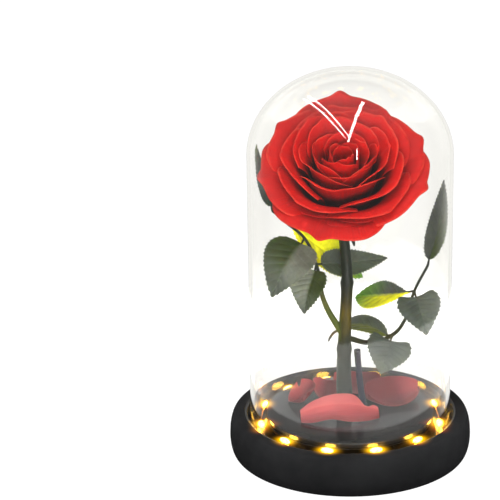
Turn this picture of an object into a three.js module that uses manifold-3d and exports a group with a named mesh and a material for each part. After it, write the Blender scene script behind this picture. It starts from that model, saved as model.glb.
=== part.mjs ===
// A preserved rose under a glass dome, in millimetres, +Z up.
// The origin is the middle of the round base's underside, and the rose looks towards -Y.
// The dome stands in a groove of the base, round a disc that carries the rose. A string of small
// lights lies in the same groove, inside the glass.
import * as THREE from "three";
import Module from "manifold-3d";
import { mergeVertices } from "three/addons/utils/BufferGeometryUtils.js";

const wasm = await Module();
wasm.setup();

// Driving dimensions
const GAP = 0.3; // between pieces that touch
const BASE_RADIUS = 70;
const BASE_HEIGHT = 23.4;
const BASE_BELLY = 10.3; // height of the widest line
const FOOT_ROUNDING = 2.9; // how far the side draws in below the belly
const SHOULDER_ROUNDING = 3.8; // and above it
const RIM_INNER_RADIUS = 59.8; // the groove's outer wall
const GROOVE_INNER_RADIUS = 48.5;
const GROOVE_FLOOR = 15.5;
const DISC_RADIUS = 48.5;
const DISC_TOP = 24.3;
const DISC_THICKNESS = 3;
const DOME_RADIUS = 57.9;
const DOME_WALL = 2;
const DOME_SHOULDER = 178.1; // where the straight wall ends
const DOME_CROWN = 48.8; // from the shoulder to the top
const LID_RADIUS = 26; // the battery compartment's lid, in the underside
const LID_THICKNESS = 2;
const LID_DEPTH = 0.6; // how far the lid is set in
const LIGHT_COUNT = 12;
const LIGHT_RING_RADIUS = 52.2;
const LIGHT_FIRST_DEG = 16; // from the front, towards +X
const LIGHT_LENGTH = 7;
const LIGHT_WIDTH = 3;
const LIGHT_RISE = 5; // from the wire's middle up to the lights' middle
const WIRE_RADIUS = 0.5;
const STEM_FOOT_RADIUS = 5;
const STEM_WAIST_RADIUS = 3.5;
const STEM_TOP_RADIUS = 2.9;
const SHOOT_RADIUS = 1.9;
const BLOOM_TILT_DEG = 22; // the bloom leans towards -Y
const BUD_HEIGHT = 40; // from the hip to the middle rims
const CREST_CUP = 0.47; // the cup whose rim stands highest over the others
const CREST_RISE = 6.5;
const CREST_SPREAD = 0.17; // how far either side the neighbouring cups rise with it
const BLOOM_RADIUS = 51.5;
const BLOOM_LEAN = 11; // how far the front petals hang and the back petals rise
const PETAL_COUNT = 23;
// Where the outer petals point, the outermost last, from +X counterclockwise seen from above.
const OUTER_PETALS_DEG = [232, 55, 305, 145, 20, 194, 338, 92, 256];
const FIRST_PETAL_DEG = 112.5; // the innermost petal
const INNER_PETAL_TURN_DEG = 137.5; // from one inner petal to the next
const PETAL_THICKNESS = 0.5;
const LEAF_THICKNESS = 0.7;
const SEPAL_THICKNESS = 0.9;
const HIP_DEPTH = 8.5; // from the lowest petals down to the stem
const ROUND_SEGMENTS = 28; // facets round the base, the dome and the wire
const DISC_SEGMENTS = 44;

const RED = 0xb5120f;
const LEAF_GREEN = 0x4a5a45;
const STEM_GREEN = 0x2c3527;
const BLACK = 0x111112;

const rad = THREE.MathUtils.degToRad;
const lerp = THREE.MathUtils.lerp;
const point = (x, y, z) => new THREE.Vector3(x, y, z);
const UP = point(0, 0, 1);
const part = new THREE.Group();

const BLOOM_CENTRE = point(-4, 8, 145); // where the petals leave the hip
const BLOOM_AXIS = UP.clone().applyAxisAngle(point(1, 0, 0), rad(BLOOM_TILT_DEG));
const FOOT_X = -3; // the stem's foot, on the disc

function add(parent, name, geometry, color, roughness, metalness = 0) {
  const material = new THREE.MeshStandardMaterial({ color, roughness, metalness });
  const mesh = new THREE.Mesh(geometry, material);
  mesh.name = name;
  parent.add(mesh);
  return mesh;
}

// A turned piece: profile points are [radius, height], and +Z is the axis.
function turned(profile, segments) {
  const points = profile.map(([r, z]) => new THREE.Vector2(r, z));
  const geometry = new THREE.LatheGeometry(points, segments);
  geometry.rotateX(Math.PI / 2);
  return geometry;
}

// Points of an ellipse round [r, z], from one angle to another, in degrees.
function ellipseArc(r, z, halfWidth, halfHeight, from, to, steps) {
  return Array.from({ length: steps + 1 }, (_, i) => {
    const angle = rad(lerp(from, to, i / steps));
    return [r + halfWidth * Math.cos(angle), z + halfHeight * Math.sin(angle)];
  });
}

function indexed(positions, faces) {
  const geometry = new THREE.BufferGeometry();
  geometry.setAttribute("position", new THREE.Float32BufferAttribute(positions, 3));
  geometry.setIndex(faces);
  return geometry;
}

// A round stalk along a curve, with its radius given for each share of the length.
function stalk(points, radiusAt, sides, steps) {
  const curve = new THREE.CatmullRomCurve3(points);
  const frames = curve.computeFrenetFrames(steps, false);
  const positions = [];
  for (let i = 0; i <= steps; i++) {
    const centre = curve.getPointAt(i / steps);
    const radius = radiusAt(i / steps);
    for (let j = 0; j < sides; j++) {
      const angle = (2 * Math.PI * j) / sides;
      const p = centre
        .clone()
        .addScaledVector(frames.normals[i], radius * Math.cos(angle))
        .addScaledVector(frames.binormals[i], radius * Math.sin(angle));
      positions.push(p.x, p.y, p.z);
    }
  }
  const faces = [];
  for (let i = 0; i < steps; i++) {
    for (let j = 0; j < sides; j++) {
      const a = i * sides + j;
      const b = i * sides + ((j + 1) % sides);
      faces.push(a, b, b + sides, a, b + sides, a + sides);
    }
  }
  const last = steps * sides;
  for (let j = 1; j < sides - 1; j++) {
    faces.push(0, j + 1, j, last, last + j, last + j + 1);
  }
  return indexed(positions, faces);
}

// A thin closed sheet whose middle surface is middle(u, v), with u from -1 to 1 and v from 0 to 1.
function sheet(middle, columns, rows, thickness) {
  const step = 1e-3;
  const positions = [];
  for (const side of [1, -1]) {
    for (let i = 0; i <= rows; i++) {
      for (let j = 0; j <= columns; j++) {
        const u = (2 * j) / columns - 1;
        const v = i / rows;
        const along = middle(u, Math.min(1, v + step)).sub(middle(u, Math.max(0, v - step)));
        const across = middle(u + step, v).sub(middle(u - step, v));
        const normal = across.cross(along).normalize();
        const p = middle(u, v).addScaledVector(normal, (side * thickness) / 2);
        positions.push(p.x, p.y, p.z);
      }
    }
  }
  const width = columns + 1;
  const under = (rows + 1) * width;
  const faces = [];
  for (let i = 0; i < rows; i++) {
    for (let j = 0; j < columns; j++) {
      const a = i * width + j;
      const b = a + 1;
      const c = a + width;
      const d = c + 1;
      faces.push(a, b, d, a, d, c);
      faces.push(under + a, under + d, under + b, under + a, under + c, under + d);
    }
  }
  const edge = [];
  for (let j = 0; j < columns; j++) edge.push(j);
  for (let i = 0; i < rows; i++) edge.push(i * width + columns);
  for (let j = columns; j > 0; j--) edge.push(rows * width + j);
  for (let i = rows; i > 0; i--) edge.push(i * width);
  edge.forEach((a, n) => {
    const b = edge[(n + 1) % edge.length];
    faces.push(a, under + a, under + b, a, under + b, b);
  });
  return indexed(positions, faces);
}

// One solid from several geometries that overlap.
function joined(geometries) {
  const solids = geometries.map((geometry) => {
    const bare = geometry.clone();
    bare.deleteAttribute("normal");
    bare.deleteAttribute("uv");
    const merged = mergeVertices(bare, 1e-4);
    const vertProperties = new Float32Array(merged.attributes.position.array);
    const triVerts = new Uint32Array(merged.index.array);
    return new wasm.Manifold(new wasm.Mesh({ numProp: 3, vertProperties, triVerts }));
  });
  const mesh = solids.reduce((sum, next) => sum.add(next)).getMesh();
  return indexed(Array.from(mesh.vertProperties), Array.from(mesh.triVerts));
}

// Base, display disc and battery lid
function makeBase() {
  const footCentre = BASE_RADIUS - FOOT_ROUNDING;
  const foot = ellipseArc(footCentre, BASE_BELLY, FOOT_ROUNDING, BASE_BELLY, -90, 0, 4);
  const shoulderCentre = BASE_RADIUS - SHOULDER_ROUNDING;
  const rise = BASE_HEIGHT - BASE_BELLY - 0.2;
  const shoulder = ellipseArc(shoulderCentre, BASE_BELLY, SHOULDER_ROUNDING, rise, 20, 84, 3);
  const discSeat = DISC_TOP - DISC_THICKNESS - GAP;
  const lidSeat = LID_DEPTH + LID_THICKNESS + GAP;
  const profile = [
    [0, lidSeat],
    [LID_RADIUS + GAP, lidSeat],
    [LID_RADIUS + GAP, 0],
    ...foot,
    ...shoulder,
    [RIM_INNER_RADIUS + 0.8, BASE_HEIGHT],
    [RIM_INNER_RADIUS, BASE_HEIGHT - 0.7],
    [RIM_INNER_RADIUS, GROOVE_FLOOR],
    [GROOVE_INNER_RADIUS, GROOVE_FLOOR],
    [GROOVE_INNER_RADIUS, discSeat],
    [0, discSeat],
  ];
  add(part, "base", turned(profile, ROUND_SEGMENTS), BLACK, 0.42);

  const outline = new THREE.Shape().absarc(0, 0, DISC_RADIUS, 0, 2 * Math.PI);
  const hole = new THREE.Path().absarc(FOOT_X, 0, STEM_FOOT_RADIUS + GAP + 0.2, 0, 2 * Math.PI, true);
  outline.holes.push(hole);
  const disc = new THREE.ExtrudeGeometry(outline, {
    depth: DISC_THICKNESS,
    bevelEnabled: false,
    curveSegments: DISC_SEGMENTS / 2,
  });
  add(part, "display_disc", disc, BLACK, 0.12).position.z = DISC_TOP - DISC_THICKNESS;

  const lid = new THREE.CylinderGeometry(LID_RADIUS, LID_RADIUS, LID_THICKNESS, 24);
  lid.rotateX(Math.PI / 2);
  add(part, "battery_lid", lid, BLACK, 0.6).position.z = LID_DEPTH + LID_THICKNESS / 2;
}

// Glass dome, open below
function makeDome() {
  const foot = GROOVE_FLOOR + GAP;
  const inner = DOME_RADIUS - DOME_WALL;
  const outside = ellipseArc(0, DOME_SHOULDER, DOME_RADIUS, DOME_CROWN, 0, 90, 7);
  const inside = ellipseArc(0, DOME_SHOULDER, inner, DOME_CROWN - DOME_WALL, 90, 0, 7);
  outside[outside.length - 1][0] = 0;
  inside[0][0] = 0;
  const profile = [...outside, ...inside, [inner, foot], [DOME_RADIUS, foot], outside[0]];
  add(part, "glass_dome", turned(profile, ROUND_SEGMENTS), 0xe8f2f0, 0.03);
}

// Light string: a ring of wire with resin drops above it
function makeLights() {
  const wireHeight = GROOVE_FLOOR + GAP + WIRE_RADIUS;
  const section = ellipseArc(LIGHT_RING_RADIUS, wireHeight, WIRE_RADIUS, WIRE_RADIUS, 0, 360, 4);
  section[4] = section[0];
  add(part, "light_wire", turned(section, ROUND_SEGMENTS), 0xb08a4a, 0.4, 0.8);

  for (let i = 0; i < LIGHT_COUNT; i++) {
    const angle = rad(LIGHT_FIRST_DEG + (360 * i) / LIGHT_COUNT - 90);
    const drop = new THREE.SphereGeometry(0.5, 6, 4);
    drop.scale(LIGHT_LENGTH, LIGHT_WIDTH, LIGHT_WIDTH);
    const name = `light_${String(i + 1).padStart(2, "0")}`;
    const mesh = add(part, name, drop, 0xffd890, 0.2);
    mesh.position.set(
      LIGHT_RING_RADIUS * Math.cos(angle),
      LIGHT_RING_RADIUS * Math.sin(angle),
      wireHeight + LIGHT_RISE,
    );
    mesh.rotation.z = angle + Math.PI / 2;
  }
}

// Stem and the cut shoot beside it
function makeStem() {
  const top = BLOOM_CENTRE.clone().addScaledVector(BLOOM_AXIS, -HIP_DEPTH - GAP);
  const neck = top.clone().addScaledVector(BLOOM_AXIS, -6);
  const points = [
    point(FOOT_X, 0, DISC_TOP - DISC_THICKNESS + GAP),
    point(FOOT_X - 0.6, 0.4, 50),
    point(-2.8, 1.6, 78),
    point(-1.8, 5.4, 105),
    neck,
    top,
  ];
  const knots = [0.34, 0.67]; // swellings where leaves leave the stem
  const radiusAt = (t) => {
    const low = lerp(STEM_FOOT_RADIUS, STEM_WAIST_RADIUS, Math.min(1, t / 0.5));
    const plain = t < 0.5 ? low : lerp(STEM_WAIST_RADIUS, STEM_TOP_RADIUS, 2 * t - 1);
    return knots.reduce((sum, at) => sum + 0.6 * Math.exp(-(((t - at) / 0.025) ** 2)), plain);
  };
  add(part, "stem", stalk(points, radiusAt, 8, 18), STEM_GREEN, 0.55);

  const shootPoints = [point(7.6, 3.2, DISC_TOP + 1), point(5.6, 0.6, 42), point(4, -1.2, 62)];
  const shoot = stalk(shootPoints, (t) => SHOOT_RADIUS * (t > 0.9 ? 1.1 : 1), 6, 5);
  add(part, "cut_side_shoot", shoot, STEM_GREEN, 0.6);
}

// Bloom: every petal lies on one of a family of nested cups, so that no two can cross.
const bloom = new THREE.Group();
bloom.position.copy(BLOOM_CENTRE);
bloom.rotation.x = rad(BLOOM_TILT_DEG);
part.add(bloom);

// A cup of the family: k is 0 at the bud and 1 outside, s runs from the hip to the rim.
function cup(k, s) {
  const foot = [1.5 + 5.5 * k, 4 - 8 * k];
  const crest = CREST_RISE * Math.exp(-(((k - CREST_CUP) / CREST_SPREAD) ** 2));
  const rimRadius = 4 + (BLOOM_RADIUS - 4) * k ** 1.05;
  const rim = [rimRadius, BUD_HEIGHT + 12 * k - 19 * k * k + crest];
  const footAngle = rad(12 + 66 * k ** 0.8); // from the axis
  const rimAngle = rad(60 * k + 40 * k ** 3 - 12);
  const handle = 0.38 * Math.hypot(rim[0] - foot[0], rim[1] - foot[1]);
  const c1 = [foot[0] + handle * Math.sin(footAngle), foot[1] + handle * Math.cos(footAngle)];
  const c2 = [rim[0] - handle * Math.sin(rimAngle), rim[1] - handle * Math.cos(rimAngle)];
  const q = 1 - s;
  return [0, 1].map(
    (n) => q ** 3 * foot[n] + 3 * q * q * s * c1[n] + 3 * q * s * s * c2[n] + s ** 3 * rim[n],
  );
}

function petalShape(i) {
  const share = i / (PETAL_COUNT - 1);
  const outer = i - (PETAL_COUNT - OUTER_PETALS_DEG.length);
  const inner = FIRST_PETAL_DEG + INNER_PETAL_TURN_DEG * i;
  const degrees = outer < 0 ? inner : OUTER_PETALS_DEG[outer];
  return {
    azimuth: rad(degrees),
    cup: 0.02 + 0.98 * share ** 0.74,
    halfWidth: rad(46 + 36 * (1 - share) ** 1.6),
  };
}

function petalPoint(petal, u, v) {
  const spread = 0.6 + 0.4 * Math.sin((Math.PI / 2) * Math.min(1, 1.25 * v));
  const angle = petal.azimuth + u * petal.halfWidth * spread;
  const tip = 0.03 * Math.exp(-((u / 0.14) ** 2));
  const s = v * (1 - 0.15 * Math.abs(u) ** 4 + tip);
  const k = petal.cup - 0.02 * (1 - petal.cup) * u;
  const [r, z] = cup(k, s);
  const wave = (0.25 + 0.9 * k) * v ** 3 * Math.sin(5 * angle + 8 * k);
  const lean = BLOOM_LEAN * Math.sin(angle) * (r / BLOOM_RADIUS) ** 1.5;
  const radius = r + 0.6 * wave;
  return point(radius * Math.cos(angle), radius * Math.sin(angle), z + lean - 0.8 * wave);
}

function makeBloom() {
  for (let i = 0; i < PETAL_COUNT; i++) {
    const petal = petalShape(i);
    const geometry = sheet((u, v) => petalPoint(petal, u, v), 6, 5, PETAL_THICKNESS);
    const name = `petal_${String(i + 1).padStart(2, "0")}`;
    add(bloom, name, geometry, RED, 0.55);
  }
  const hipProfile = [
    [0, -HIP_DEPTH],
    [2.8, -HIP_DEPTH],
    [5.2, -7.6],
    [5.6, -5.8],
    [0.5, 2.8],
    [0, 2.8],
  ];
  const sepals = [0, 1, 2, 3, 4].map((n) => {
    const sepal = (u, v) => {
      const half = 3.4 * Math.sin(Math.PI * (0.25 + 0.72 * v));
      const z = 3.2 * Math.sin(2.2 * v) - 7 * v * v - 7.6;
      return point(lerp(3, 21, v), u * half, z).applyAxisAngle(UP, (2 * Math.PI * n) / 5);
    };
    return sheet(sepal, 2, 3, SEPAL_THICKNESS);
  });
  add(bloom, "calyx", joined([turned(hipProfile, 10), ...sepals]), STEM_GREEN, 0.6);
}

// Leaves: two leaves of five leaflets, each on its own stalk
const LEFT_STALK = [
  point(-7.9, 0.4, 75),
  point(-15, 1, 91),
  point(-19.3, 4, 112),
  point(-26, 6, 127),
  point(-36, 9, 135),
  point(-44.5, 13, 141),
];
const RIGHT_STALK = [
  point(1.8, -0.6, 67.6),
  point(12, 4, 64),
  point(24.4, 3.4, 69),
  point(31, 0, 79),
  point(36.6, -0.5, 97.4),
  point(44.2, 0, 113),
];
const LEAFLET_START = 3.6; // how far from the stalk's line a blade starts

// at: where the leaflet leaves its stalk, tip: its point, face: where its upper side looks,
// arch: how far its midrib bows towards the face, bend: how far it bows sideways,
// fold: how far its halves fold up, in degrees, full: below 1 where it is widest near its stalk,
// lobe: how far its two sides reach back beside the stalk.
const LEFT_LEAFLETS = [
  {
    at: 2, tip: point(-26, -9, 87), face: point(-0.3, -0.85, 0.35),
    width: 23, arch: 3, bend: 0, fold: 22, full: 0.58, lobe: 1,
  },
  {
    at: 2, tip: point(22, 33, 105.7), face: point(0, -0.75, 0.65),
    width: 18, arch: -2, bend: 0, fold: 6, full: 0.6, lobe: 0,
  },
  {
    at: 3, tip: point(-44, -14, 99), face: point(-0.2, -0.85, 0.5),
    width: 31, arch: 5, bend: 0, fold: 14, full: 0.58, lobe: 1,
  },
  {
    at: 4, tip: point(7.6, 34, 93), face: point(0.1, -0.8, 0.6),
    width: 21, arch: -1, bend: 0, fold: 6, full: 1, lobe: 0,
  },
  {
    at: 5, tip: point(-53.2, 5, 182.5), face: point(-0.97, 0.2, 0.1),
    width: 15, arch: 2.4, bend: -2, fold: 0, full: 0.68, lobe: 0,
  },
];
const RIGHT_LEAFLETS = [
  {
    at: 2, tip: point(17.5, -8, 49.5), face: point(0.05, -0.9, 0.4),
    width: 26, arch: 3, bend: 0, fold: 8, full: 0.5, lobe: 3,
  },
  {
    at: 2, tip: point(-13, 23, 57.5), face: point(0, -0.1, 1),
    width: 20, arch: 9, bend: 0, fold: 8, full: 0.68, lobe: 0,
  },
  {
    at: 4, tip: point(43, -15, 76.5), face: point(0.1, -0.9, 0.4),
    width: 25, arch: 3, bend: 0, fold: 10, full: 0.5, lobe: 3,
  },
  {
    at: 4, tip: point(3, 21, 86), face: point(0, -0.5, 0.87),
    width: 22, arch: -1, bend: 0, fold: 4, full: 1.4, lobe: 0,
  },
  {
    at: 5, tip: point(52.6, 1, 163), face: point(-0.3, -0.95, 0),
    width: 14, arch: -2, bend: 1.6, fold: 34, full: 0.68, lobe: 0,
  },
];
const LOBE_PLACE = 0.08; // share of a leaflet's length at which its sides reach back most

function leafletPoint(leaflet, base, u, v) {
  const along = leaflet.tip.clone().sub(base);
  const length = along.length();
  along.normalize();
  const up = leaflet.face.clone().addScaledVector(along, -leaflet.face.dot(along)).normalize();
  const side = along.clone().cross(up);
  const half = (leaflet.width / 2) * Math.max(0.04, Math.sin(Math.PI * v ** leaflet.full) ** 0.8);
  const bow = 4 * v * (1 - v);
  const fold = rad(leaflet.fold);
  const rise = Math.abs(u) * half * Math.sin(fold) * Math.min(1, 3 * Math.abs(u));
  const back = leaflet.lobe * u * u * (v / LOBE_PLACE) * Math.exp(1 - v / LOBE_PLACE);
  return base
    .clone()
    .addScaledVector(along, LEAFLET_START + v * (length - LEAFLET_START) - back)
    .addScaledVector(side, u * half * Math.cos(fold) + leaflet.bend * bow)
    .addScaledVector(up, leaflet.arch * bow + rise);
}

// One compound leaf: blades, and the stalk with a short stub to each blade.
function makeLeaf(sideName, points, leaflets) {
  const thinning = (t) => lerp(1.7, 0.8, Math.min(1, 1.6 * t));
  const stalks = [stalk(points, thinning, 5, 10)];
  leaflets.forEach((leaflet, n) => {
    const base = points[leaflet.at];
    const blade = sheet((u, v) => leafletPoint(leaflet, base, u, v), 4, 5, LEAF_THICKNESS);
    add(part, `leaflet_${sideName}_${n + 1}`, blade, LEAF_GREEN, 0.5);
    const along = leaflet.tip.clone().sub(base).normalize();
    const end = base.clone().addScaledVector(along, LEAFLET_START - GAP - 0.1);
    stalks.push(stalk([base, end], () => 0.8, 4, 1));
  });
  add(part, `leaf_stalk_${sideName}`, joined(stalks), STEM_GREEN, 0.6);
}

// Fallen petals on the disc. heading: where the tip points, bowl and roll: how far the ends and
// the sides curl up, lean: how far the left side is raised.
const FALLEN = [
  { name: "front", x: -6, y: -14, heading: 6, length: 45, width: 19, bowl: -4, roll: -1, lean: 10 },
  { name: "right", x: 25, y: 11, heading: 20, length: 33, width: 25, bowl: 3, roll: 5, lean: 8 },
  { name: "back", x: 4, y: 27, heading: 170, length: 28, width: 20, bowl: 4, roll: 4, lean: -6 },
  { name: "back_left", x: -13.4, y: 17.2, heading: 165, length: 18, width: 15, bowl: 5, roll: 4, lean: -6 },
  { name: "left", x: -28.5, y: 11, heading: 100, length: 21, width: 16, bowl: 3, roll: 4, lean: -9 },
];

function fallenPoint(petal, u, v) {
  const half = (petal.width / 2) * Math.sin(Math.PI * (0.12 + 0.8 * v)) ** 0.6;
  const b = u * half;
  const up = petal.bowl * (2 * v - 1) ** 2 + petal.roll * u * u + petal.lean * (b / petal.width);
  return point((v - 0.5) * petal.length, b, up)
    .applyAxisAngle(UP, rad(petal.heading))
    .add(point(petal.x, petal.y, 0));
}

function makeFallenPetals() {
  for (const petal of FALLEN) {
    const geometry = sheet((u, v) => fallenPoint(petal, u, v), 4, 5, PETAL_THICKNESS);
    geometry.computeBoundingBox();
    geometry.translate(0, 0, DISC_TOP + GAP - geometry.boundingBox.min.z);
    add(part, `fallen_petal_${petal.name}`, geometry, RED, 0.55);
  }
}

makeBase();
makeDome();
makeLights();
makeStem();
makeBloom();
makeLeaf("left", LEFT_STALK, LEFT_LEAFLETS);
makeLeaf("right", RIGHT_STALK, RIGHT_LEAFLETS);
makeFallenPetals();

export default part;
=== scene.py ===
# Looks of a preserved rose under a glass dome, in the frame of its CAD model.
# Shapes are worked out in millimetres and made in metres. +Z is up and the rose faces -Y.
from functools import partial
from math import cos, hypot, pi, radians, sin
from types import SimpleNamespace

import bmesh
import bpy
from mathutils import Matrix, Vector


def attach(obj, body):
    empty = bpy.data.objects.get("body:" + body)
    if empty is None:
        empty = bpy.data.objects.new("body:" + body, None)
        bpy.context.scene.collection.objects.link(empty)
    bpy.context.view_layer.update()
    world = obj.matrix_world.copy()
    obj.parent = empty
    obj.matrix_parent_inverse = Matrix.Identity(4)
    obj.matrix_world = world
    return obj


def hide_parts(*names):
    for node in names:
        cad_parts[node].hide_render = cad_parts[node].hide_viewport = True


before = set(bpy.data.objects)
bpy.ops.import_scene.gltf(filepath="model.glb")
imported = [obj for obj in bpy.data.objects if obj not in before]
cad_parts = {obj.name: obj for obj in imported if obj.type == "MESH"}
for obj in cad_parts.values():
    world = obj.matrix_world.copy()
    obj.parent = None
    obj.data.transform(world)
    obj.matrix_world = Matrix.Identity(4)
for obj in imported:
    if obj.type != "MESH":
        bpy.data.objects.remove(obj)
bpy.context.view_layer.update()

MM = 0.001
BODY = "root"
TURN = 2 * pi

# The same driving dimensions as the solids, in millimetres
BASE_RADIUS = 70
BASE_HEIGHT = 23.4
BASE_WIDEST_AT = 10.3
RIM_INNER_RADIUS = 59.8
GROOVE_INNER_RADIUS = 48.5
GROOVE_FLOOR = 15.5
DISC_RADIUS = 48.5
DISC_TOP = 24.3
DISC_THICKNESS = 3
DOME_RADIUS = 57.9
DOME_WALL = 2
DOME_FOOT = 15.8
DOME_SHOULDER = 178.1
DOME_CROWN = 48.8
LID_RADIUS = 26
LID_THICKNESS = 2
LID_DEPTH = 0.6
LIGHT_COUNT = 12
LIGHT_RING_RADIUS = 52.2
LIGHT_FIRST_DEG = 16
LIGHT_LENGTH = 7
LIGHT_WIDTH = 3
WIRE_HEIGHT = 16.3
LIGHT_HEIGHT = 21.3
FOOT_X = -3
BLOOM_CENTRE = (-4, 8, 145)
BLOOM_TILT = radians(22)
BUD_HEIGHT = 40
BLOOM_RADIUS = 51.5
BLOOM_LEAN = 11
PETAL_COUNT = 23
OUTER_PETALS_DEG = [232, 55, 305, 145, 20, 194, 338, 92, 256]
FIRST_PETAL_DEG = 112.5
INNER_PETAL_TURN_DEG = 137.5
CREST_RISE = 6.5
CREST_CUP = 0.47
CREST_SPREAD = 0.17
HIP_DEPTH = 8.5
LEAFLET_START = 3.6

# What only the looks have: a rounding in millimetres, shares of a length, and how drops glow
RIM_ROUNDING = 1.4
LOBE_PLACE = 0.08
KNOT_SPREAD = 0.022
LIGHT_STRENGTH = 60


def lerp(a, b, t):
    return a + (b - a) * t


def tuned(colour, factor):
    return tuple(factor * part for part in colour)


# Node trees
class Field:
    """An output of a node, which can be reckoned with like a number."""

    def __init__(self, socket):
        self.socket = socket
        self.tree = socket.id_data

    def __neg__(self):
        return self * -1


def plug(value, socket):
    """Links a socket to a field, or sets it. A colour may come without its alpha."""
    if isinstance(value, Field):
        value.tree.links.new(value.socket, socket)
    elif socket.type == "RGBA" and len(value) == 3:
        socket.default_value = (*value, 1)
    else:
        socket.default_value = value


def fill(node, inputs):
    for name, value in inputs.items():
        plug(value, node.inputs[name.replace("_", " ")])


def tree_of(values):
    return next(value.tree for value in values if isinstance(value, Field))


def wire(kind, settings=(), tree=None, **inputs):
    """A new node, in the tree of its inputs if none is given. Sockets' names have _ for a space."""
    node = (tree or tree_of(inputs.values())).nodes.new(kind)
    for name, value in dict(settings).items():
        setattr(node, name, value)
    fill(node, inputs)
    return node


def made(prefix, kind, settings=(), tree=None, **inputs):
    """The first output of a new node."""
    return Field(wire(prefix + kind, settings, tree, **inputs).outputs[0])


geo = partial(made, "GeometryNode")
shade = partial(made, "ShaderNode")


def calculate(operation, *values):
    node = wire("ShaderNodeMath", {"operation": operation}, tree_of(values))
    for value, socket in zip(values, node.inputs):
        plug(value, socket)
    return Field(node.outputs[0])


SIGNS = {"add": "ADD", "sub": "SUBTRACT", "mul": "MULTIPLY", "truediv": "DIVIDE", "pow": "POWER"}
for sign, operation in SIGNS.items():
    setattr(Field, f"__{sign}__", lambda a, b, do=operation: calculate(do, a, b))
    setattr(Field, f"__r{sign}__", lambda a, b, do=operation: calculate(do, b, a))

sine = partial(calculate, "SINE")
cosine = partial(calculate, "COSINE")
size_of = partial(calculate, "ABSOLUTE")
fraction = partial(calculate, "FRACT")
exponential = partial(calculate, "EXPONENT")
least = partial(calculate, "MINIMUM")
most = partial(calculate, "MAXIMUM")


def bump_at(distance, width):
    """1 where distance is 0, falling off to 0 over a few widths."""
    ratio = distance / width
    return exponential(-(ratio * ratio))


def ramp(a, start, end):
    """0 before start, 1 after end, and straight between them."""
    return least(1, most(0, (a - start) / (end - start)))


def vector_of(x, y, z):
    return shade("CombineXYZ", X=x, Y=y, Z=z)


def parts_of(vector):
    return [Field(output) for output in wire("ShaderNodeSeparateXYZ", Vector=vector).outputs]


def scaled(vector, amount):
    return shade("VectorMath", {"operation": "SCALE"}, Vector=vector, Scale=amount)


def noise(x, y, z, seed, detail):
    """Smooth noise from -1 to 1 at a place that three fields give."""
    inputs = {"Vector": vector_of(x, y, z), "W": seed, "Scale": 1, "Detail": detail}
    return shade("TexNoise", {"noise_dimensions": "4D"}, **inputs) * 2 - 1


def new_tree(name, numbers, **others):
    """A geometry tree and its inputs as fields: numbers, others by kind, and a material."""
    tree = bpy.data.node_groups.new(name, "GeometryNodeTree")
    kinds = {"Geometry": "Geometry", **dict.fromkeys(numbers.split(), "Float"), **others}
    kinds["Material"] = "Material"
    for label, kind in kinds.items():
        tree.interface.new_socket(label, in_out="INPUT", socket_type="NodeSocket" + kind)
    tree.interface.new_socket("Geometry", in_out="OUTPUT", socket_type="NodeSocketGeometry")
    sockets = tree.nodes.new("NodeGroupInput").outputs
    return tree, SimpleNamespace(**{label: Field(sockets[label]) for label in kinds})


def finish_tree(geometry, material):
    """Ends a tree with metres, smooth shading, real geometry and its material, and returns it."""
    sized = geo("Transform", Geometry=geometry, Scale=(MM, MM, MM))
    real = geo("RealizeInstances", Geometry=geo("SetShadeSmooth", Geometry=sized))
    painted = geo("SetMaterial", Geometry=real, Material=material)
    plug(painted, geometry.tree.nodes.new("NodeGroupOutput").inputs[0])
    return geometry.tree


def store(geometry, name, value, kind="FLOAT", domain="POINT", **more):
    settings = {"data_type": kind, "domain": domain}
    return geo("StoreNamedAttribute", settings, Geometry=geometry, Name=name, Value=value, **more)


def store_uv(grid, u, v):
    return store(grid, "sheet_uv", vector_of(u, v, 0), "FLOAT_VECTOR")


def sheet_grid(tree, columns, rows):
    """A grid, and its u from -1 to 1 and v from 0 to 1."""
    counts = {"Vertices_X": columns + 1, "Vertices_Y": rows + 1}
    grid = geo("MeshGrid", tree=tree, Size_X=2, Size_Y=1, **counts)
    u, y, _ = parts_of(geo("InputPosition", tree=tree))
    return grid, u, y + 0.5


def pushed(geometry, distance):
    """A surface moved along its normals."""
    normal = geo("InputNormal", tree=geometry.tree)
    return geo("SetPosition", Geometry=geometry, Offset=scaled(normal, distance))


def thick_sheet(sheet, place, thickness, edge_thickness):
    """A closed sheet round a surface moved to place. outer is 1 on its upper side."""
    shaped = geo("SetPosition", Geometry=sheet, Position=place)
    vector = {"data_type": "FLOAT_VECTOR"}
    u, v, _ = parts_of(geo("InputNamedAttribute", vector, sheet.tree, Name="sheet_uv"))
    edge = most(ramp(v, 0.7, 1), ramp(size_of(u), 0.7, 1))
    wall = thickness + (edge_thickness - thickness) * edge
    marked = store(pushed(shaped, wall * -0.5), "outer", 0, domain="FACE")
    inputs = {"Mesh": marked, "Offset_Scale": wall, "Individual": False}
    raised = wire("GeometryNodeExtrudeMesh", {"mode": "FACES"}, **inputs).outputs
    top = Field(raised["Top"])
    upper = store(Field(raised["Mesh"]), "outer", 1, domain="FACE", Selection=top)
    both = wire("GeometryNodeJoinGeometry", tree=sheet.tree)
    for part in (upper, geo("FlipFaces", Mesh=marked)):
        plug(part, both.inputs[0])
    return geo("MergeByDistance", Geometry=Field(both.outputs[0]), Distance=0.001)


# Pieces
def add(name, data):
    piece = bpy.data.objects.new(name, data)
    bpy.context.collection.objects.link(piece)
    return piece


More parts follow.
